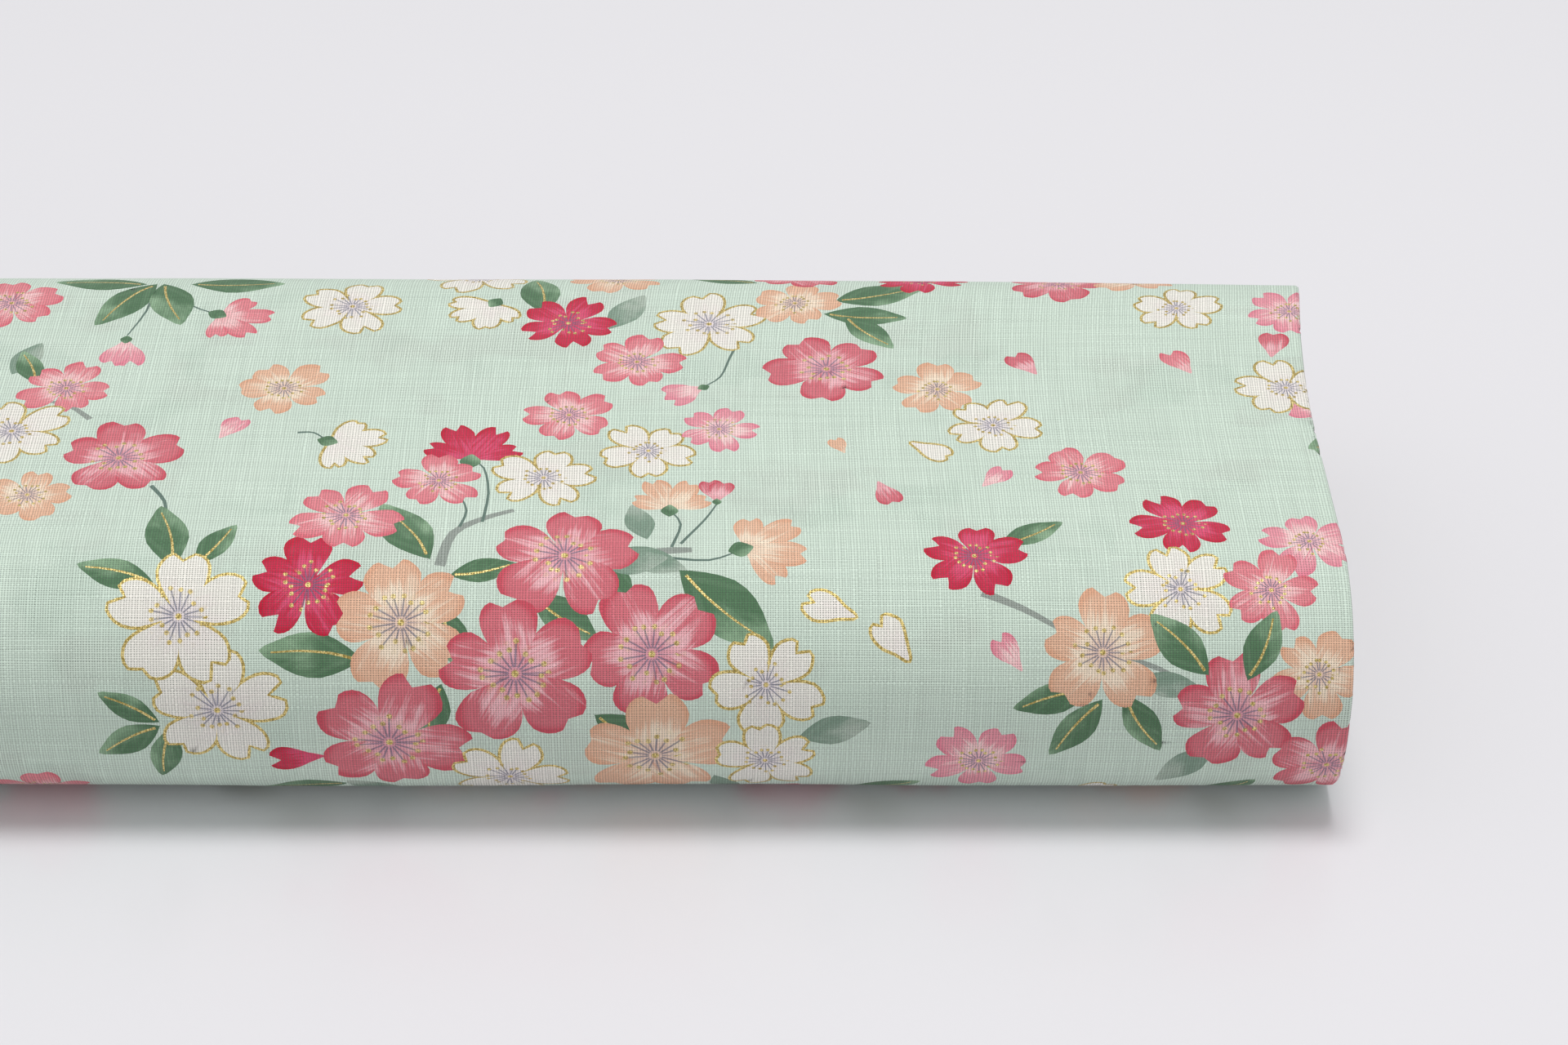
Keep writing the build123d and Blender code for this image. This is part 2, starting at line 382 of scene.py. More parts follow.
def petal_outline(half_width, notch, uneven, shift):
    """A notched petal along +x, from its base near 0 to its tip at 1."""
    side = ((-0.05, 0.10), (0.22, 0.44), (0.46, 0.84), (0.70, 1.0), (0.89, 0.84), (0.99, 0.44))
    upper = [(x, y * half_width * (1 + uneven) * dice.uniform(0.94, 1.05)) for x, y in side]
    lower = [
        (x * (1 + shift), -y * half_width * (1 - uneven) * dice.uniform(0.94, 1.05))
        for x, y in reversed(side)
    ]
    return round_out(upper + [(1 - notch, 0.0)] + lower)


def leaf_outline(half_width):
    """A pointed leaf along +x, from its stalk at 0 to its tip at 1."""
    side = ((0.0, 0.04), (0.14, 0.50), (0.38, 0.98), (0.62, 0.92), (0.84, 0.48))
    upper = [(x, y * half_width) for x, y in side]
    lower = [(x, -y * half_width) for x, y in reversed(side)]
    return round_out(upper + [(1.0, 0.0)] + lower)


def grown(points, by):
    """A closed outline moved outwards."""
    ahead, behind = np.roll(points, -1, 0), np.roll(points, 1, 0)
    along = ahead - behind
    normal = np.stack([along[:, 1], -along[:, 0]], 1)
    normal /= np.maximum(np.linalg.norm(normal, axis=1, keepdims=True), 1e-9)
    x, y = points[:, 0], points[:, 1]
    anticlockwise = np.sum(x * np.roll(y, -1) - np.roll(x, -1) * y) > 0
    return points + normal * (by if anticlockwise else -by)


class Print:
    """Painted shapes in order, later ones on top. Each has an outline, a frame, a bloom and colours."""

    def __init__(self):
        self.shapes = []

    def add(self, outline, at, turned, size, width, colours, bloom=None, gilt=0.0, leafy=0.0):
        """outline is in the shape's own frame, in sizes. at is where that frame's zero is on the cloth."""
        c, s = math.cos(turned), math.sin(turned)
        x, y = outline[:, 0], outline[:, 1]
        placed = np.stack([at[0] + size * (x * c - y * s), at[1] + size * (x * s + y * c)], 1)
        self.shapes.append(
            {"outline": placed, "at": at, "turn": (c, s), "size": size, "width": width, "colours": colours,
             "bloom": bloom, "gilt": gilt, "leafy": leafy, "seed": dice.random()}
        )


def add_petals(paper, kind, at, petals, bloom=None, slim=1.0):
    """Petals from one point, each (direction, length). White ones have a gold edge round them all."""
    half_width = 0.40 * FULLNESS[kind] * slim
    outlines = []
    for _ in petals:
        notch = NOTCH[kind] * dice.uniform(0.6, 1.35)
        uneven = dice.uniform(-0.12, 0.12)
        outlines.append(petal_outline(half_width, notch, uneven, dice.uniform(-0.07, 0.07)))
    if kind == "white":
        for outline, (turned, size) in zip(outlines, petals):
            edge = grown(outline * size, GOLD_EDGE) / size
            paper.add(edge, at, turned, size, half_width, GOLD, bloom, gilt=1.0)
    for outline, (turned, size) in zip(outlines, petals):
        paper.add(outline, at, turned, size, half_width, KINDS[kind], bloom)


# (turned from the blossom's axis, length in radii)
SIDE_PETALS = ((-1.2, 1.25), (1.15, 1.3), (-0.42, 1.55), (0.40, 1.5))


def add_bloom(paper, kind, x, y, across, turned):
    """A whole blossom of five petals, or a side view of four with its calyx, or a bud."""
    base, _, side = kind.partition("_")
    radius, turn = across / 2, math.radians(turned)
    if kind == "bud" or side == "bud":
        add_bud(paper, "rose" if kind == "bud" else "blush", x, y, across, turn)
    elif side:
        petals = [(turn + spread, radius * long) for spread, long in SIDE_PETALS]
        add_petals(paper, base, (x, y), petals, slim=0.70)
        add_calyx(paper, x, y, radius, turn)
    else:
        petals = []
        for k in (0, 2, 4, 1, 3):
            swing = turn + k * 2 * math.pi / 5 + dice.uniform(-0.07, 0.07)
            petals.append((swing, radius * dice.uniform(0.92, 1.07)))
        add_petals(paper, kind, (x, y), petals, bloom=(x, y, radius))


def add_bud(paper, kind, x, y, across, turn):
    add_petals(paper, kind, (x, y), [(turn - 0.24, across), (turn + 0.24, across * 0.95)], slim=0.9)
    add_calyx(paper, x, y, across * 0.5, turn)


def add_calyx(paper, x, y, radius, turn):
    back = (x - 0.42 * radius * math.cos(turn), y - 0.42 * radius * math.sin(turn))
    paper.add(leaf_outline(0.42), back, turn, radius * 0.62, 0.42, LEAF, leafy=0.4)


def strip_outline(points, width, tapered=0.5):
    """Closed outline of a brush stroke through the points."""
    points = np.array(points, float)
    fine = []
    for i in range(len(points) - 1):
        before = points[max(i - 1, 0)]
        after = points[min(i + 2, len(points) - 1)]
        b, c = points[i], points[i + 1]
        for t in (0, 0.34, 0.67):
            fine.append(catmull_rom(before, b, c, after, t))
    fine = np.array(fine + [points[-1]])
    along = np.gradient(fine, axis=0)
    normal = np.stack([-along[:, 1], along[:, 0]], 1)
    normal /= np.linalg.norm(normal, axis=1, keepdims=True)
    half = np.linspace(width, width * tapered, len(fine))[:, None] / 2
    return np.concatenate([fine + normal * half, (fine - normal * half)[::-1]])


def add_leaf(paper, kind, x, y, length, pointing):
    turn = math.radians(pointing)
    half_width = dice.uniform(0.20, 0.25)
    colours = LEAF if kind == "leaf" else GREY_LEAF
    paper.add(leaf_outline(half_width), (x, y), turn, length, half_width, colours, leafy=1.0)
    if kind == "leaf":
        rib = strip_outline(((0.06, 0.0), (0.3, 0.035), (0.6, 0.03), (0.88, -0.01)), 0.55 / length)
        paper.add(rib, (x, y), turn, length, half_width, GOLD, gilt=1.0)


def lay_print(x_range, y_range):
    """Every shape that touches that part of the cloth, with the print's repeats."""
    paper = Print()
    for column in range(-4, 4):
        for row in range(-3, 4):
            dx = column * REPEAT_ALONG
            dy = row * REPEAT_UP + (DROP if column % 2 else 0)
            if dx > x_range[1] or dx + REPEAT_ALONG + 30 < x_range[0]:
                continue
            if dy - 110 > y_range[1] or dy + 110 < y_range[0]:
                continue
            dice.seed(4)
            for kind, width, points in STEMS:
                moved = [(x + dx, y + dy) for x, y in points]
                colours = STEM if kind == "stem" else BRANCH
                paper.add(strip_outline(moved, width), (0.0, 0.0), 0.0, 1.0, 1.0, colours)
            for kind, x, y, length, pointing in LEAVES:
                add_leaf(paper, kind, x + dx, y + dy, length, pointing)
            for kind, x, y, long, turned in PETALS:
                add_petals(paper, kind, (x + dx, y + dy), [(math.radians(turned), long)], slim=0.88)
            for kind, x, y, across, turned in BLOOMS:
                add_bloom(paper, kind, x + dx, y + dy, across, turned)
            for kind, x, y, length, pointing in LEAVES_ON_TOP:
                add_leaf(paper, kind, x + dx, y + dy, length, pointing)
    kept = []
    for shape in paper.shapes:
        low, high = shape["outline"].min(0), shape["outline"].max(0)
        if low[0] < x_range[1] and high[0] > x_range[0] and low[1] < y_range[1] and high[1] > y_range[0]:
            kept.append(shape)
    return kept


dice = random.Random(4)

# ---------------------------------------------------------------- cloth meshes

PRINT_WRAPS = -14.0  # the print is cut into the mesh to this far past the fold
SEEN_STEP, HIDDEN_STEP, ROUND_STEP = 3.4, 13.0, 2.6  # mm between the mesh's own points


def grid_points(u_range, v_range):
    """Points that let the cloth bend, closer on the outer ply, and the outline of the piece."""
    points = []
    rows = max(2, round((v_range[1] - v_range[0]) / ROUND_STEP))
    levels = np.linspace(v_range[0], v_range[1], rows + 1)
    fold_columns = list(np.arange(-4.0, 4.01, 0.5))
    for i, v in enumerate(levels):
        inner = 0 < i < rows
        shift = 0.5 * (i % 2) if inner else 0.0
        outer_us = np.arange(4.6 + SEEN_STEP * (0.3 + shift), u_range[1] - 0.6 * SEEN_STEP, SEEN_STEP)
        inner_us = np.arange(-17.0 - 4 * shift, u_range[0] + 0.4 * HIDDEN_STEP, -HIDDEN_STEP)
        near = np.arange(-15.0, -4.5, 1.6)
        us = [u_range[0], *inner_us, *near, *fold_columns, *outer_us, u_range[1]]
        points += [(float(u), float(v)) for u in us]
    return points


def inside(outline, points):
    """Which points a closed outline holds."""
    x, y = points[:, :1], points[:, 1:]
    x0, y0 = outline[:, 0], outline[:, 1]
    x1, y1 = np.roll(x0, -1), np.roll(y0, -1)
    spans = (y0 > y) != (y1 > y)
    rise = np.where(y1 == y0, 1e-12, y1 - y0)
    crossed = spans & (x < x0 + (y - y0) * (x1 - x0) / rise)
    return crossed.sum(1) % 2 == 1


def top_shapes(centres, shapes):
    """For each point, the number of the last shape painted over it, or -1."""
    tops = np.full(len(centres), -1)
    by_x = np.argsort(centres[:, 0])
    xs = centres[by_x, 0]
    for i, shape in enumerate(shapes):
        low, high = shape["outline"].min(0), shape["outline"].max(0)
        near = by_x[np.searchsorted(xs, low[0]) : np.searchsorted(xs, high[0])]
        near = near[(centres[near, 1] > low[1]) & (centres[near, 1] < high[1])]
        if len(near):
            tops[near[inside(shape["outline"], centres[near])]] = i
    return tops


def cut_cloth(u_range, v_range, print_from):
    """Cuts the flat cloth round its printed shapes: (points, triangles, each triangle's shape, shapes)."""
    shapes = lay_print((print_from, u_range[1]), v_range)
    low, high = (u_range[0], v_range[0]), (u_range[1], v_range[1])
    points = [low, (high[0], low[1]), high, (low[0], high[1])]
    edges = [(0, 1), (1, 2), (2, 3), (3, 0)]
    for shape in shapes:
        first, count = len(points), len(shape["outline"])
        points += [tuple(p) for p in shape["outline"]]
        edges += [(first + i, first + (i + 1) % count) for i in range(count)]
    points += grid_points(u_range, v_range)
    out = delaunay_2d_cdt([Vector(p) for p in points], edges, [], 0, 1e-5, False)
    flat = np.array([tuple(p) for p in out[0]], float)
    triangles = np.array([t for t in out[2] if len(t) == 3])
    centres = flat[triangles].mean(1)
    triangles = triangles[((centres > low) & (centres < high)).all(1)]
    return flat, triangles, top_shapes(flat[triangles].mean(1), shapes), shapes


def corner_values(flat, triangles, tops, shapes):
    """What the cloth's material reads at each corner of each triangle."""
    at = flat[triangles.ravel()]
    shape_of = np.repeat(tops, 3)
    n = len(at)
    petal, bloom, kind = np.zeros((n, 3)), np.zeros((n, 3)), np.zeros((n, 3))
    tint, heart = np.ones((n, 4)), np.ones((n, 4))
    order = np.argsort(shape_of, kind="stable")
    bounds_of = np.searchsorted(shape_of[order], np.arange(len(shapes) + 1))
    for i, shape in enumerate(shapes):
        mine = order[bounds_of[i] : bounds_of[i + 1]]
        if not len(mine):
            continue
        c, s = shape["turn"]
        d = at[mine] - np.array(shape["at"])
        petal[mine, 0] = (d[:, 0] * c + d[:, 1] * s) / shape["size"]
        petal[mine, 1] = (d[:, 1] * c - d[:, 0] * s) / shape["size"] / shape["width"]
        petal[mine, 2] = shape["seed"]
        if shape["bloom"]:
            bx, by, radius = shape["bloom"]
            bloom[mine, 0] = (at[mine, 0] - bx) / radius
            bloom[mine, 1] = (at[mine, 1] - by) / radius
            bloom[mine, 2] = radius
        kind[mine] = (1.0, shape["gilt"], shape["leafy"])
        tint[mine, :3], heart[mine, :3] = shape["colours"]
    cloth = np.column_stack([at, np.full(n, 1.0)])
    return {"cloth": cloth, "petal": petal, "bloom": bloom, "kind": kind, "tint": tint, "heart": heart}


def make_mesh(name, points, triangles, values, material):
    mesh = bpy.data.meshes.new(name)
    used, renumbered = np.unique(triangles.ravel(), return_inverse=True)
    triangles = renumbered.reshape(-1, 3)
    mesh.from_pydata([tuple(points[i]) for i in used], [], triangles.tolist())
    for key, rows in values.items():
        colour = rows.shape[1] == 4
        attribute = mesh.attributes.new(key, "FLOAT_COLOR" if colour else "FLOAT_VECTOR", "CORNER")
        attribute.data.foreach_set("color" if colour else "vector", rows.astype(np.float32).ravel())
    mesh.polygons.foreach_set("use_smooth", [True] * len(triangles))
    mesh.materials.append(material)
    mesh.update()
    piece = bpy.data.objects.new(name, mesh)
    bpy.context.scene.collection.objects.link(piece)
    return piece


def thicken(piece):
    """Gives the cloth its thickness, behind its front faces, with crisp edges. The two plies of the last
    turn face each other, and those of the inner turns face away from each other."""
    uses = {}
    for polygon in piece.data.polygons:
        for key in polygon.edge_keys:
            uses[key] = uses.get(key, 0) + 1
    sharp = [uses.get(e.key, 0) == 1 for e in piece.data.edges]
    piece.data.attributes.new("sharp_edge", "BOOLEAN", "EDGE").data.foreach_set("value", sharp)
    solid = piece.modifiers.new("thickness", "SOLIDIFY")
    solid.thickness = PLY
    solid.offset = -1
    return piece


def printed_piece(name, v_range, material, lifts=False):
    """A stretch of the last doubled turn, between two lines along the bolt. Where it lifts, its inner
    ply shows too, so it is printed as well."""
    u_range = ((WIDTH - DOUBLE_WIDTH) / MM, WIDTH / MM)
    flat, triangles, tops, shapes = cut_cloth(u_range, v_range, u_range[0] if lifts else PRINT_WRAPS)
    placed = np.array([outer_point(WIDTH - u * MM, TOP_FRONT - v * MM) for u, v in flat])
    a, b, c = (placed[triangles[:, k]] for k in range(3))
    whole = np.linalg.norm(np.cross(b - a, c - a), axis=1) > 1e-12
    triangles, tops = triangles[whole], tops[whole]
    values = corner_values(flat, triangles, tops, shapes)
    piece = thicken(make_mesh(name, placed, triangles, values, material))
    length = (v_range[1] - v_range[0]) * MM
    return piece, (DOUBLE_WIDTH, length)


def inner_point(across, turned, ends):
    """A point of the inner turns: turned counts laps from the outside inwards."""
    depth_in = INNER_START + turned * TURN_PITCH
    hardness = (turned / TURNS) ** 1.4
    end, selvage = ends
    x, depth = fold_profile(across, INNER_LOOP, INNER_GATHER, end, INNER_DOUBLED)
    x += selvage * (1 - smooth(x, LEFT, LEFT + SELVAGE_REACH))
    q = (turned * 6) % 6
    y, z = section(q, depth_in + depth, hardness)
    return settle(x, y, z)


def inner_turns(material):
    """All the turns under the last one, as one doubled cloth wound inwards to the board."""
    steps_a_lap = [0.0, 0.5, 1.0]
    steps_a_lap += [1 + t / 8 for t in range(1, 9)] + [2 + t / 8 for t in range(1, 9)]
    steps_a_lap += [3.5, 4.0] + [4 + t / 8 for t in range(1, 9)] + [5 + t / 8 for t in range(1, 8)]
    turned = [lap + q / 6 for lap in range(TURNS) for q in steps_a_lap] + [float(TURNS)]
    points, values = [], []
    ran = 0.0
    before = None
    for t in turned:
        lap = int(t)
        wobble = noise.noise(Vector((t * 1.7, 11.0, 0.0))) + 0.5 * noise.noise(Vector((t * 5.3, 21.0, 0.0)))
        short = RECEDING.get(lap, RECEDING_DEEPER) + RECEDING_UNEVEN * abs(wobble)
        end = RIGHT - short * MM - INNER_LOOP
        selvage = INNER_SELVAGE * noise.noise(Vector((t * 1.3, 31.0, 0.0)))
        wide = 2 * (end - LEFT) + math.pi * INNER_LOOP
        half = (end - LEFT) - FOLD_SPAN
        out_stops = [half * s for s in (0, 0.02, 0.3, 0.7)] + [half]
        bend = list(np.linspace(half, wide - half, FOLD_COLUMNS))
        back = [wide - s for s in reversed(out_stops)]
        acrosses = out_stops[:-1] + bend + back[1:]
        row = [inner_point(a, t, (end, selvage)) for a in acrosses]
        if before is not None:
            ran += math.dist(row[1], before)
        before = row[1]
        points += row
        values += [((WIDTH - a) / MM, -ran / MM - 250, 0.0) for a in acrosses]
    wide_count = len(acrosses)
    quads = []
    for i in range(len(turned) - 1):
        for j in range(wide_count - 1):
            a = i * wide_count + j
            quads.append((a, a + wide_count, a + wide_count + 1, a + 1))
    quads = np.array(quads)
    triangles = np.concatenate([quads[:, [0, 1, 2]], quads[:, [0, 2, 3]]])
    cloth = np.array(values)[triangles.ravel()]
    n = len(cloth)
    plain = {
        "cloth": cloth, "petal": np.zeros((n, 3)), "bloom": np.zeros((n, 3)), "kind": np.zeros((n, 3)),
        "tint": np.ones((n, 4)), "heart": np.ones((n, 4)),
    }
    piece = thicken(make_mesh("cloth_inner_turns_wound", np.array(points), triangles, plain, material))
    return piece, (DOUBLE_WIDTH, ran)


# ---------------------------------------------------------------- materials

WEAVE_BUMP, PAPER_BUMP = 0.10 * MM, 0.04 * MM

class Field:
    """A number in a material, so that its arithmetic can be written as arithmetic."""

    def __init__(self, tree, socket):
        self.tree, self.socket = tree, socket

    def of(self, operation, *others, clamp=False):
        node = self.tree.nodes.new("ShaderNodeMath")
        node.operation, node.use_clamp = operation, clamp
        for i, value in enumerate((self, *others)):
            if isinstance(value, Field):
                self.tree.links.new(value.socket, node.inputs[i])
            else:
                node.inputs[i].default_value = value
        return Field(self.tree, node.outputs[0])

    def __add__(self, other):
        return self.of("ADD", other)

    def __sub__(self, other):
        return self.of("SUBTRACT", other)

    def __rsub__(self, other):
        return (self * -1.0) + other

    def __mul__(self, other):
        return self.of("MULTIPLY", other)

    def __truediv__(self, other):
        return self.of("DIVIDE", other)

    __radd__, __rmul__ = __add__, __mul__

    def smooth(self, low, high):
        """0 below low, 1 above high, rising smoothly between. low may be above high."""
        node = self.tree.nodes.new("ShaderNodeMapRange")
        node.interpolation_type = "SMOOTHSTEP"
        flip = low > high
        self.tree.links.new(self.socket, node.inputs["Value"])
        node.inputs["From Min"].default_value = min(low, high)
        node.inputs["From Max"].default_value = max(low, high)
        node.inputs["To Min"].default_value = 1.0 if flip else 0.0
        node.inputs["To Max"].default_value = 0.0 if flip else 1.0
        return Field(self.tree, node.outputs["Result"])


class Paint:
    """One material's nodes."""

    def __init__(self, name):
        self.material = bpy.data.materials.new(name)
        self.material.use_nodes = True
        self.tree = self.material.node_tree
        self.shader = self.tree.nodes["Principled BSDF"]

    def attribute(self, name):
        node = self.tree.nodes.new("ShaderNodeAttribute")
        node.attribute_name = name
        return node

    def split(self, vector):
        node = self.tree.nodes.new("ShaderNodeSeparateXYZ")
        self.tree.links.new(vector, node.inputs[0])
        return [Field(self.tree, out) for out in node.outputs]

    def join(self, *parts):
        node = self.tree.nodes.new("ShaderNodeCombineXYZ")
        for i, part in enumerate(parts):
            if isinstance(part, Field):
                self.tree.links.new(part.socket, node.inputs[i])
            else:
                node.inputs[i].default_value = part
        return node.outputs[0]

    def noise(self, vector, scale, detail=2.0, roughness=0.5):
        node = self.tree.nodes.new("ShaderNodeTexNoise")
        self.tree.links.new(vector, node.inputs["Vector"])
        node.inputs["Scale"].default_value = scale
        node.inputs["Detail"].default_value = detail
        node.inputs["Roughness"].default_value = roughness
        return Field(self.tree, node.outputs["Fac"])

    def random(self, vector):
        node = self.tree.nodes.new("ShaderNodeTexWhiteNoise")
        node.noise_dimensions = "3D"
        self.tree.links.new(vector, node.inputs["Vector"])
        return Field(self.tree, node.outputs["Value"])

    def mix(self, share, a, b, blend="MIX"):
        """Colour a, and b where share is 1. Each is a colour or an output."""
        node = self.tree.nodes.new("ShaderNodeMix")
        node.data_type, node.blend_type = "RGBA", blend
        pairs = ((0, share), (6, a), (7, b))
        for i, value in pairs:
            if isinstance(value, Field):
                self.tree.links.new(value.socket, node.inputs[i])
            elif isinstance(value, bpy.types.NodeSocket):
                self.tree.links.new(value, node.inputs[i])
            elif i == 0:
                node.inputs[0].default_value = value
            else:
                node.inputs[i].default_value = (*value, 1.0)
        return node.outputs[2]

    def bump(self, height, distance, strength=1.0, onto=None):
        node = self.tree.nodes.new("ShaderNodeBump")
        node.inputs["Strength"].default_value = strength
        node.inputs["Distance"].default_value = distance
        self.tree.links.new(height.socket, node.inputs["Height"])
        if onto is not None:
            self.tree.links.new(onto, node.inputs["Normal"])
        return node.outputs["Normal"]

    def put(self, socket, value):
        if isinstance(value, Field):
            value = value.socket
        if isinstance(value, bpy.types.NodeSocket):
            self.tree.links.new(value, self.shader.inputs[socket])
        else:
            self.shader.inputs[socket].default_value = value


def stamens(paint, bloom):
    """(threads, grains, distance from the middle) of a blossom. Each fine thread ends in a grain."""
    bx, by, size = paint.split(bloom.outputs["Vector"])
    radius = (bx * bx + by * by).of("SQRT")
    angle = by.of("ARCTAN2", bx) / (2 * math.pi)
    spokes = 17.0
    place = angle * spokes
    number = place.of("FLOOR")
    off = (place - number - 0.5) * (2 * math.pi / spokes)
    pick = paint.random(paint.join(number, size, 0.0))
    other = paint.random(paint.join(number, size, 5.0))
    reach = pick * 0.20 + 0.24
    sideways = (off + (other - 0.5) * 0.16) * radius
    there = size.smooth(0.5, 1.0)
    thread = sideways.of("ABSOLUTE").smooth(0.017, 0.007) * radius.smooth(0.07, 0.10) * there
    thread = thread * (radius - reach).smooth(0.0, -0.02)
    tip = ((radius - reach - 0.02) * (radius - reach - 0.02) + sideways * sideways).of("SQRT")
    middle = radius.smooth(0.060, 0.035)
    grains = (tip.smooth(0.046, 0.028) + middle).of("MINIMUM", 1.0) * there
    return thread, grains, radius


def weave(paint, x, y):
    """(height, gap, streak) of a plain weave whose threads run along and across the bolt."""
    wander = paint.noise(paint.join(x * 0.02, y * 0.6, 3.0), 1.0, 2.0) - 0.5
    drift = paint.noise(paint.join(x * 0.6, y * 0.02, 9.0), 1.0, 2.0) - 0.5
    across = (x + drift * 0.70) / WARP
    upward = (y + wander * 0.70) / WEFT
    column, row = across.of("FLOOR"), upward.of("FLOOR")
    fx, fy = (across - column) * 2.0 - 1.0, (upward - row) * 2.0 - 1.0
    ridge_x, ridge_y = 1.0 - fx * fx, 1.0 - fy * fy
    over = ((column + row) * 0.5).of("FRACT").smooth(0.2, 0.3)
    thick_x = paint.noise(paint.join(column, y * 0.05, 1.0), 0.91, 1.0)
    thick_y = paint.noise(paint.join(x * 0.05, row, 2.0), 0.91, 1.0)
    warp = ridge_x * (0.62 + 0.38 * (ridge_y * over))
    weft = ridge_y * (0.62 + 0.38 * (ridge_x * (1.0 - over)))
    height = warp.of("MAXIMUM", weft)
    corner = (fx * fx).of("MINIMUM", fy * fy)
    slack = (thick_x + thick_y) * 0.42 - 0.12
    gap = (corner + slack).smooth(0.60, 0.96)
    streak = (thick_x - 0.5) * (1.0 - over) + (thick_y - 0.5) * over
    return height, gap, streak


def cotton():
    """Printed open plain-weave cotton."""
    paint = Paint("printed_cotton")
    cloth, petal, bloom = paint.attribute("cloth"), paint.attribute("petal"), paint.attribute("bloom")
    kind, tint, heart = paint.attribute("kind"), paint.attribute("tint"), paint.attribute("heart")
    x, y, seen = paint.split(cloth.outputs["Vector"])
    along, aside, seed = paint.split(petal.outputs["Vector"])
    printed, gilt, leafy = paint.split(kind.outputs["Vector"])
    flat_place = paint.join(x, y, 0.0)

    # ground, with the layer beneath showing through the open weave
    clouds = paint.noise(flat_place, 0.035, 2.0)
    beneath = paint.noise(paint.join(x * 0.9, y, 31.0), 0.055, 3.0, 0.55)
    beneath_green = paint.noise(paint.join(x, y * 0.9, 57.0), 0.05, 3.0, 0.55)
    ground = paint.mix(clouds, (0.570, 0.690, 0.600), (0.622, 0.730, 0.648))
    ghost = beneath.smooth(0.54, 0.66) * 0.13
    ghost_green = beneath_green.smooth(0.56, 0.68) * 0.11
    ground = paint.mix(ghost, ground, (0.47, 0.44, 0.42))
    ground = paint.mix(ghost_green, ground, (0.30, 0.44, 0.36))

    # petals: deep at the tip and rim, pale towards the middle, brushed lengthways
    brush = paint.noise(paint.join(along * 0.9, aside * 5.5, seed * 40.0), 1.0, 3.0, 0.6) - 0.5
    wash = paint.noise(paint.join(x, y, seed * 9.0), 0.16, 2.0) - 0.5
    e = (along - 0.60) / 0.42
    rim = (e * e + aside * aside * 0.92).smooth(0.45, 1.15)
    fine = paint.noise(paint.join(along * 1.4, aside * 15.0, seed * 23.0), 1.0, 2.0, 0.5) - 0.5
    beside = aside.of("ABSOLUTE")
    depth = along + beside * beside * 0.30 + brush * 1.25 + fine * 0.55 + wash * 1.1
    deep = (depth.smooth(0.25, 0.78) * 0.80 + rim * 0.26).of("MINIMUM", 1.0)
    petal_colour = paint.mix(deep, heart.outputs["Color"], tint.outputs["Color"])
    # leaves: dark along the rib, paler towards the tip and one side
    vein = (along * 15.0 + aside.of("ABSOLUTE") * -6.0).of("SINE").smooth(0.55, 1.0) * 0.22
    pale = (along * 0.75 + aside * 0.28 + wash * 1.6 + brush * 0.4).smooth(0.25, 1.05) + vein * 0.5
    leaf_colour = paint.mix(pale.of("MINIMUM", 1.0), tint.outputs["Color"], heart.outputs["Color"])
    shape_colour = paint.mix(leafy.smooth(0.1, 0.3), petal_colour, leaf_colour)

    threads, grains, radius = stamens(paint, bloom)
    blush = (radius.smooth(0.40, 0.06) * 0.50) * bloom_is(paint, bloom)
    shape_colour = paint.mix(blush, shape_colour, (0.80, 0.70, 0.86), "MULTIPLY")
    shape_colour = paint.mix(threads * 0.74, shape_colour, (0.12, 0.14, 0.215))
    glitter = paint.random(paint.join((x * 4.2).of("FLOOR"), (y * 4.2).of("FLOOR"), 1.0))
    golden = paint.mix(glitter.smooth(0.15, 0.95), (0.40, 0.29, 0.07), (0.86, 0.70, 0.30))
    metal = (gilt + grains * printed).of("MINIMUM", 1.0)
    shape_colour = paint.mix(metal, shape_colour, golden)
    colour = paint.mix(printed, ground, shape_colour)

    # on the turns underneath the print is only flecks of its colours, as it shows along the folds
    wound = (1.0 - seen) * x.of("ABSOLUTE").smooth(FLECKS_GONE, FLECKS_END)
    flecks = ((ROSE, 0.60), (LEAF, 0.63), (WHITE, 0.60), (PEACH, 0.63))
    for number, ((fleck, _), low) in enumerate(flecks, 1):
        place = paint.noise(paint.join(x, y, number * 17.0), 0.085, 1.0)
        colour = paint.mix(place.smooth(low, low + 0.02) * wound * 0.85, colour, fleck)

    # painted shade of the weave's relief: thread tops lighter, the hollows between them darker; streak makes
    # whole threads lighter or darker
    height, gap, streak = weave(paint, x, y)
    lit = 1.0 + streak * 0.50 + (height - 0.7) * 0.46
    colour = paint.mix(1.0, colour, paint.join(lit, lit, lit), "MULTIPLY")
    # painted shade in the weave's gaps: through them shows partly the layer beneath with its darker print,
    # partly the shade under the top ply; deeper over the show-through and over printed shapes
    shade_through_gaps = paint.mix(0.60, (0.25, 0.29, 0.26), colour, "MULTIPLY")
    beneath_dark = ((ghost + ghost_green) * 7.0).of("MINIMUM", 1.0)
    open_share = (0.46 + beneath_dark * 0.40 + printed * 0.34).of("MINIMUM", 0.92)
    colour = paint.mix(gap * open_share, colour, shade_through_gaps)
    paint.put("Base Color", colour)
    paint.put("Roughness", 0.86 - metal * 0.42)
    paint.put("Metallic", metal * 0.45)
    paint.put("Specular IOR Level", 0.25)
    paint.put("Sheen Weight", 0.12)
    paint.put("Sheen Roughness", 0.5)
    paint.put("Normal", paint.bump(height - gap * 0.5, WEAVE_BUMP, 0.75))
    return paint.material


def bloom_is(paint, bloom):
    """1 inside a blossom, 0 elsewhere."""
    return paint.split(bloom.outputs["Vector"])[2].smooth(0.5, 1.0)


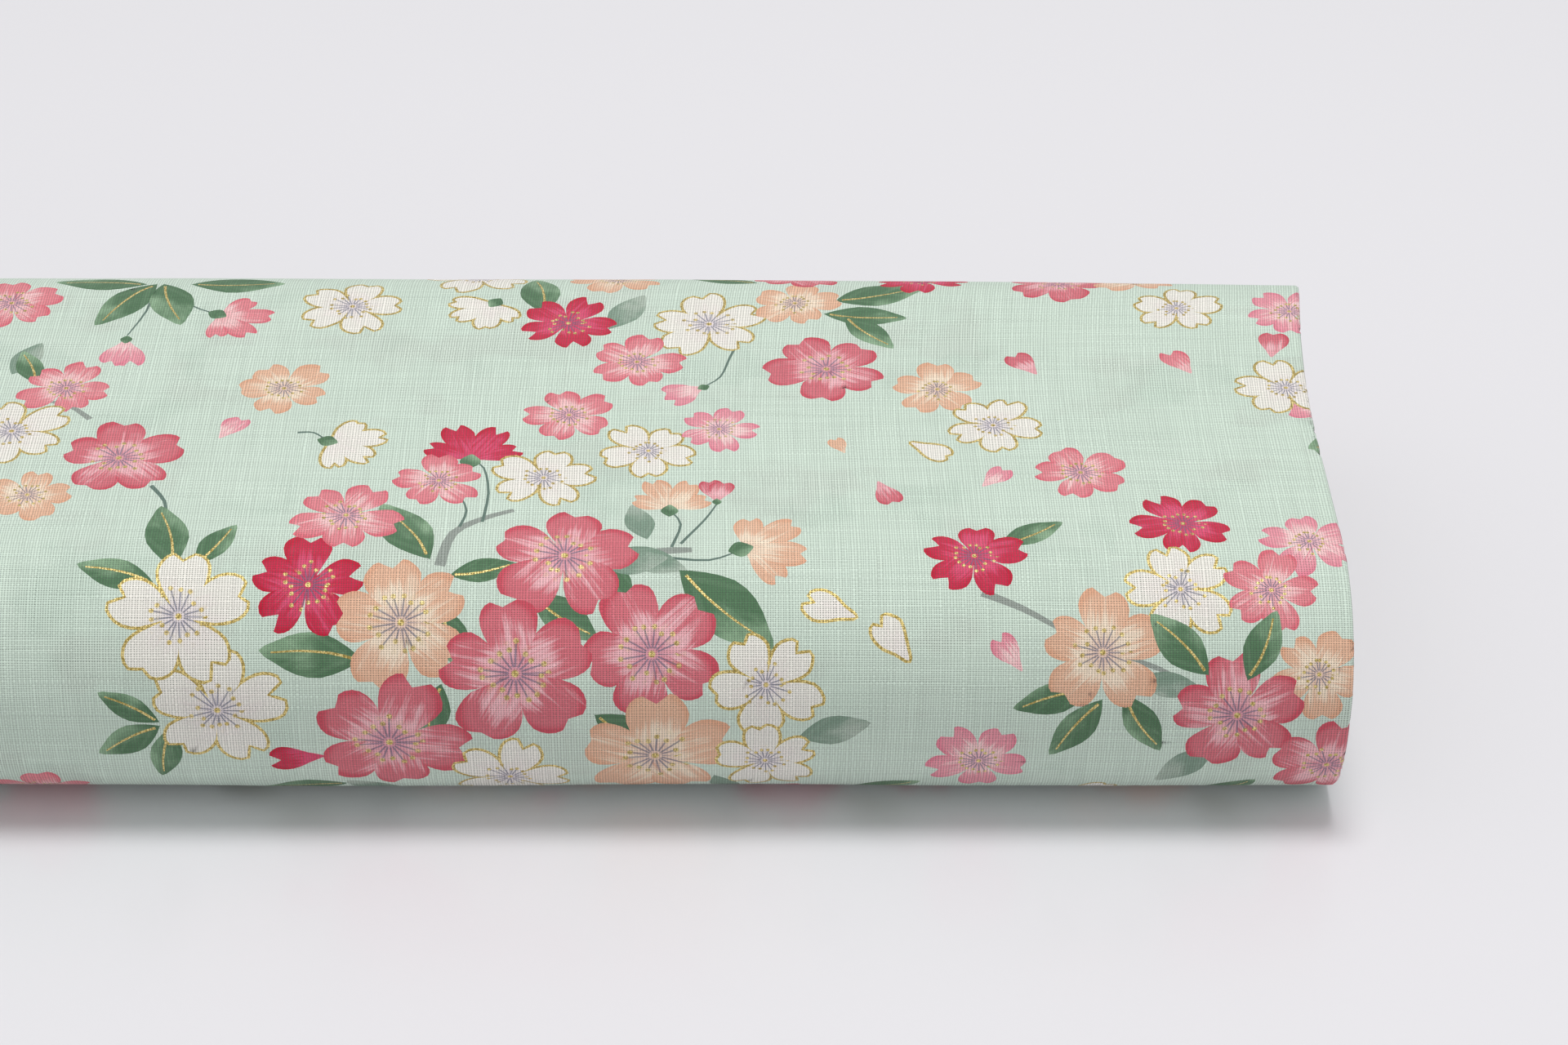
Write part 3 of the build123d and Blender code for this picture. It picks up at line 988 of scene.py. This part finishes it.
def plain_paper(name, colour, dark, grain, roughness):
    """Plain paper or board: fibres and a little mottling."""
    paint = Paint(name)
    node = paint.tree.nodes.new("ShaderNodeTexCoord")
    place = node.outputs["Object"]
    x, y, z = paint.split(place)
    fibres = paint.noise(paint.join(x * 260.0, y * 1900.0, z * 1900.0), 1.0, 3.0, 0.6)
    mottle = paint.noise(place, grain, 4.0, 0.6)
    tone = paint.mix(mottle.smooth(0.30, 0.72), dark, colour)
    tone = paint.mix(fibres.smooth(0.52, 0.80) * 0.35, tone, dark)
    paint.put("Base Color", tone)
    paint.put("Roughness", roughness + (mottle - 0.5) * 0.2)
    paint.put("Specular IOR Level", 0.3)
    paint.put("Normal", paint.bump(fibres + mottle * 0.5, PAPER_BUMP, 0.6))
    return paint.material


# ---------------------------------------------------------------- the bolt

COTTON = cotton()
V_TOP = TOP_FRONT / MM  # print height of the hinge line
V_FRONT_LOW = (TOP_FRONT - FRONT_END) / MM
V_BLEND = V_TOP - BLEND_BACK
V_START = (TOP_FRONT - HIDDEN) / MM

piece, flat = printed_piece("cloth_top_and_front", (V_FRONT_LOW - 1.0, V_BLEND), COTTON)
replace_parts(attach(piece, "cloth"), "cloth_outer_turn")

piece, flat = printed_piece("cloth_underside", (V_START, V_FRONT_LOW - 1.0), COTTON)
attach(piece, "cloth")

piece, flat = inner_turns(COTTON)
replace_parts(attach(piece, "cloth"), "cloth_inner_turns")


def free_end_pieces():
    """The free end, in four printed pieces, each replacing one of its parts."""
    strip = FREE_LENGTH / 4
    middles = [-BLEND_BACK * MM, *(strip * (k + 0.5) for k in range(3)), FREE_LENGTH]
    for k in range(4):
        v_range = (V_TOP + middles[k] / MM, V_TOP + middles[k + 1] / MM)
        made, cut = printed_piece(f"cloth_free_end_{k + 1}_bending", v_range, COTTON, lifts=True)
        begins = -1 * MM if k == 0 else strip * k
        ends = strip * (k + 0.5)
        start, end = (Vector((0.0, *outer_face(-at, 0.0))) for at in (begins, ends))
        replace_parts(made, f"cloth_free_end_{k + 1}")
        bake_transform(made)


free_end_pieces()

kraft = plain_paper("kraft_paper", (0.50, 0.34, 0.20), (0.36, 0.23, 0.13), 60.0, 0.85)
wrapper = plain_paper("wrap_paper", (0.80, 0.78, 0.73), (0.66, 0.63, 0.57), 45.0, 0.7)
ticket = plain_paper("ticket_paper", (0.90, 0.89, 0.86), (0.80, 0.78, 0.74), 80.0, 0.55)
for node, finish in (
    ("core_liner_top", kraft), ("core_liner_middle", kraft), ("core_liner_bottom", kraft),
    ("core_flute_upper", kraft), ("core_flute_lower", kraft), ("core_wrap", wrapper),
    ("core_wrap_lap", wrapper), ("end_ticket", ticket),
):
    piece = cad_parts[node]
    piece.data.materials.clear()
    piece.data.materials.append(finish)

# ---------------------------------------------------------------- table, light and camera


def table_top():
    """A plain pale satin table."""
    mesh = bpy.data.meshes.new("table")
    far, drop = 6.0, -0.0002
    corners = [(-far, -far, drop), (far, -far, drop), (far, far, drop), (-far, far, drop)]
    mesh.from_pydata(corners, [], [(0, 1, 2, 3)])
    table = bpy.data.objects.new("table", mesh)
    bpy.context.scene.collection.objects.link(table)
    paint = Paint("table_white")
    paint.put("Base Color", (0.775, 0.77, 0.81, 1.0))
    paint.put("Roughness", 0.24)
    paint.put("Specular IOR Level", 0.5)
    mesh.materials.append(paint.material)


def area_light(name, place, aim, size, power, colour=(1.0, 1.0, 1.0)):
    data = bpy.data.lights.new(name, "AREA")
    data.shape, data.size, data.size_y = "RECTANGLE", size[0], size[1]
    data.energy, data.color = power, colour
    lamp = bpy.data.objects.new(name, data)
    lamp.location = place
    lamp.rotation_euler = (Vector(aim) - Vector(place)).to_track_quat("-Z", "Y").to_euler()
    bpy.context.scene.collection.objects.link(lamp)


def room():
    world = bpy.data.worlds.new("studio")
    world.use_nodes = True
    background = world.node_tree.nodes["Background"]
    background.inputs["Color"].default_value = (0.985, 0.985, 0.97, 1.0)
    background.inputs["Strength"].default_value = 0.56
    bpy.context.scene.world = world
    area_light("softbox_over", (0.24, 0.05, 1.6), (0.14, -0.04, 0.0), (0.55, 0.32), 13.6, (1.0, 0.99, 0.98))
    area_light("softbox_front", (0.1, -1.7, 0.9), (0.1, 0.0, 0.02), (1.6, 0.9), 1.9, (1.0, 0.99, 0.96))


def camera():
    """Looks down at the fold's end of the bolt from in front, and crops the other end."""
    lens_pitch = math.radians(34.5)
    data = bpy.data.cameras.new("camera")
    data.sensor_width = 36.0
    data.lens = 85.5
    data.shift_x = 0.0573
    data.clip_start, data.clip_end = 0.05, 20.0
    eye = bpy.data.objects.new("camera", data)
    eye.location = (RIGHT - 0.1156, LOW.y - 0.521, HEIGHT + 0.377)
    eye.rotation_euler = (math.pi / 2 - lens_pitch, 0.0, 0.0)
    bpy.context.scene.collection.objects.link(eye)
    bpy.context.scene.camera = eye


table_top()
room()
camera()
bpy.context.scene.view_settings.view_transform = "Standard"
